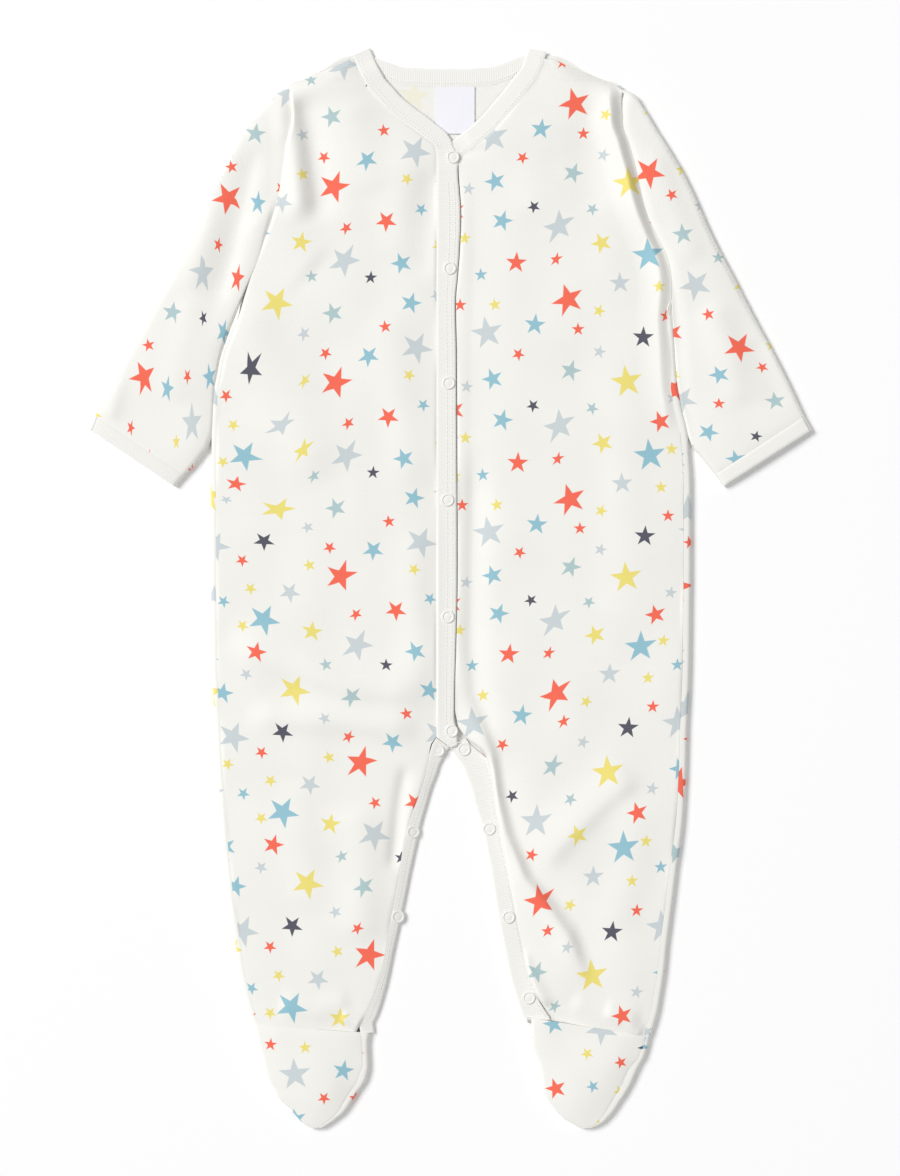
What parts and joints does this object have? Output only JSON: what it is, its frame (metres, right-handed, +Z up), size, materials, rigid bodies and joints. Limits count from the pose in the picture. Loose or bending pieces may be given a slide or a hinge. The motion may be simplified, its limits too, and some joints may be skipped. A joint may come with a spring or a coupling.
{
  "type": "footed baby sleepsuit",
  "caption": "Long-sleeved baby sleepsuit with closed feet, V-neck, centre snap placket, snapped inseam, rib trims and a small star print, laid flat on its back.",
  "frame": {"origin": "middle of the suit's outline in plan, on the underside of its back", "axes": "+Y from the feet towards the neck, +Z up out of the front, +X to the viewer's right, which is the wearer's left"},
  "size_m": [0.4286, 0.6402, 0.0078],
  "materials": {
    "printed_interlock": "soft matt cotton interlock with a printed star repeat",
    "cotton_rib": "matt fine cotton rib",
    "snap_plastic": "glossy",
    "woven_label": "satin weave, bare"
  },
  "bodies": {
    "root": {"back_body": "printed_interlock", "front_right": "printed_interlock", "front_left": "printed_interlock", "sleeve_right": "printed_interlock", "sleeve_left": "printed_interlock", "foot_top_right": "printed_interlock", "foot_top_left": "printed_interlock", "sole_right": "printed_interlock", "sole_left": "printed_interlock", "cuff_right": "cotton_rib", "cuff_left": "cotton_rib", "neck_band_right": "cotton_rib", "neck_band_back": "cotton_rib", "neck_band_left": "cotton_rib", "placket_upper": "cotton_rib", "placket_under": "cotton_rib", "leg_band_front_right": "cotton_rib", "leg_band_front_left": "cotton_rib", "leg_band_back": "cotton_rib", "neck_label": "woven_label", "snap_front_1": "snap_plastic", "snap_front_2": "snap_plastic", "snap_front_3": "snap_plastic", "snap_front_4": "snap_plastic", "snap_front_5": "snap_plastic", "snap_front_6": "snap_plastic", "snap_crotch_right": "snap_plastic", "snap_crotch_left": "snap_plastic", "snap_leg_right_1": "snap_plastic", "snap_leg_right_2": "snap_plastic", "snap_leg_left_1": "snap_plastic", "snap_leg_left_2": "snap_plastic", "snap_leg_left_3": "snap_plastic"}
  },
  "joints": []
}
